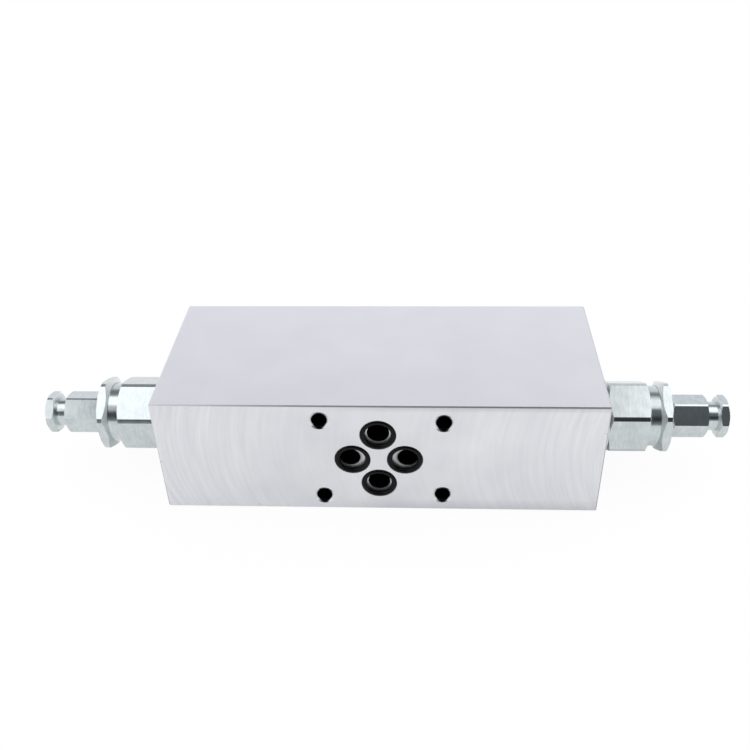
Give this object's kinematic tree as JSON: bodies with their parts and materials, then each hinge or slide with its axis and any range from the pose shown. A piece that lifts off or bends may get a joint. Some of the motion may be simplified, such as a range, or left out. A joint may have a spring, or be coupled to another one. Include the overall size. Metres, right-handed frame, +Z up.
{
  "type": "brake valve",
  "caption": "Load-holding brake valve in a metal sandwich plate, with a hexagonal screw-in cartridge in each end, ringed ports and bolt holes.",
  "frame": {"origin": "centre of the port pattern on the ringed port face, which bolts to the subplate", "axes": "+X along the plate towards the A cartridge, +Y from the ringed face into the plate, +Z up"},
  "size_m": [0.239, 0.0629, 0.0446],
  "materials": {
    "plate_metal": "milled, satin, light grey",
    "zinc_steel": "zinc plated, bright",
    "port_seal_rubber": "black, smooth, slightly glossy",
    "ground_steel": "ground",
    "spring_steel": "dark, oiled",
    "seal_rubber": "black, smooth",
    "backup_plastic": "off-white, smooth",
    "plug_steel": "plain"
  },
  "bodies": {
    "valve_body": {"valve_plate": "plate_metal", "port_ring_p": "port_seal_rubber", "port_ring_t": "port_seal_rubber", "port_ring_a": "port_seal_rubber", "port_ring_b": "port_seal_rubber", "pilot_line_plug_a": "plug_steel", "pilot_link_plug_a": "plug_steel", "cartridge_housing_a": "zinc_steel", "seat_sleeve_a": "ground_steel", "retaining_clip_a": "spring_steel", "mouth_ring_a": "seal_rubber", "middle_ring_a": "seal_rubber", "middle_backup_outer_a": "backup_plastic", "middle_backup_inner_a": "backup_plastic", "nose_backup_a": "backup_plastic", "nose_ring_a": "seal_rubber", "main_spring_a": "spring_steel", "check_spring_a": "spring_steel", "pilot_line_plug_b": "plug_steel", "pilot_link_plug_b": "plug_steel", "cartridge_housing_b": "zinc_steel", "seat_sleeve_b": "ground_steel", "retaining_clip_b": "spring_steel", "mouth_ring_b": "seal_rubber", "middle_ring_b": "seal_rubber", "middle_backup_outer_b": "backup_plastic", "middle_backup_inner_b": "backup_plastic", "nose_backup_b": "backup_plastic", "nose_ring_b": "seal_rubber", "main_spring_b": "spring_steel", "check_spring_b": "spring_steel"},
    "spring_setting_a": {"outer_spring_seat_a": "ground_steel", "seat_ring_a": "seal_rubber"},
    "adjuster_screw_a": {"adjuster_a": "zinc_steel"},
    "relief_piston_a": {"relief_poppet_a": "ground_steel", "inner_spring_seat_a": "ground_steel"},
    "check_valve_a": {"check_poppet_a": "ground_steel"},
    "spring_setting_b": {"outer_spring_seat_b": "ground_steel", "seat_ring_b": "seal_rubber"},
    "adjuster_screw_b": {"adjuster_b": "zinc_steel"},
    "relief_piston_b": {"relief_poppet_b": "ground_steel", "inner_spring_seat_b": "ground_steel"},
    "check_valve_b": {"check_poppet_b": "ground_steel"}
  },
  "joints": [
    {"name": "setting_slide_a", "type": "slide", "parent": "valve_body", "child": "spring_setting_a", "axis": [1, 0, 0], "range_m": [-0.0014, 0.0032], "deforming": ["main_spring_a"]},
    {"name": "adjuster_turn_a", "type": "hinge", "parent": "spring_setting_a", "child": "adjuster_screw_a", "pos_m": [0.09, 0.025, 0], "axis": [1, 0, 0], "range_deg": [-432, 990]},
    {"name": "relief_slide_a", "type": "slide", "parent": "valve_body", "child": "relief_piston_a", "axis": [1, 0, 0], "range_m": [0, 0.0015], "stiffness_N_per_m": 60000, "deforming": ["main_spring_a"]},
    {"name": "check_slide_a", "type": "slide", "parent": "valve_body", "child": "check_valve_a", "axis": [-1, 0, 0], "range_m": [0, 0.0012], "stiffness_N_per_m": 1000, "springref_m": -0.002, "deforming": ["check_spring_a"]},
    {"name": "setting_slide_b", "type": "slide", "parent": "valve_body", "child": "spring_setting_b", "axis": [-1, 0, 0], "range_m": [-0.0014, 0.0032], "deforming": ["main_spring_b"]},
    {"name": "adjuster_turn_b", "type": "hinge", "parent": "spring_setting_b", "child": "adjuster_screw_b", "pos_m": [-0.09, 0.025, 0], "axis": [-1, 0, 0], "range_deg": [-432, 990]},
    {"name": "relief_slide_b", "type": "slide", "parent": "valve_body", "child": "relief_piston_b", "axis": [-1, 0, 0], "range_m": [0, 0.0015], "stiffness_N_per_m": 60000, "deforming": ["main_spring_b"]},
    {"name": "check_slide_b", "type": "slide", "parent": "valve_body", "child": "check_valve_b", "axis": [1, 0, 0], "range_m": [0, 0.0012], "stiffness_N_per_m": 1000, "springref_m": -0.002, "deforming": ["check_spring_b"]}
  ],
  "couplings": [
    {"joint": "setting_slide_a", "follows": "adjuster_turn_a", "m_per_rad": 0.00015915},
    {"joint": "setting_slide_b", "follows": "adjuster_turn_b", "m_per_rad": 0.00015915}
  ]
}
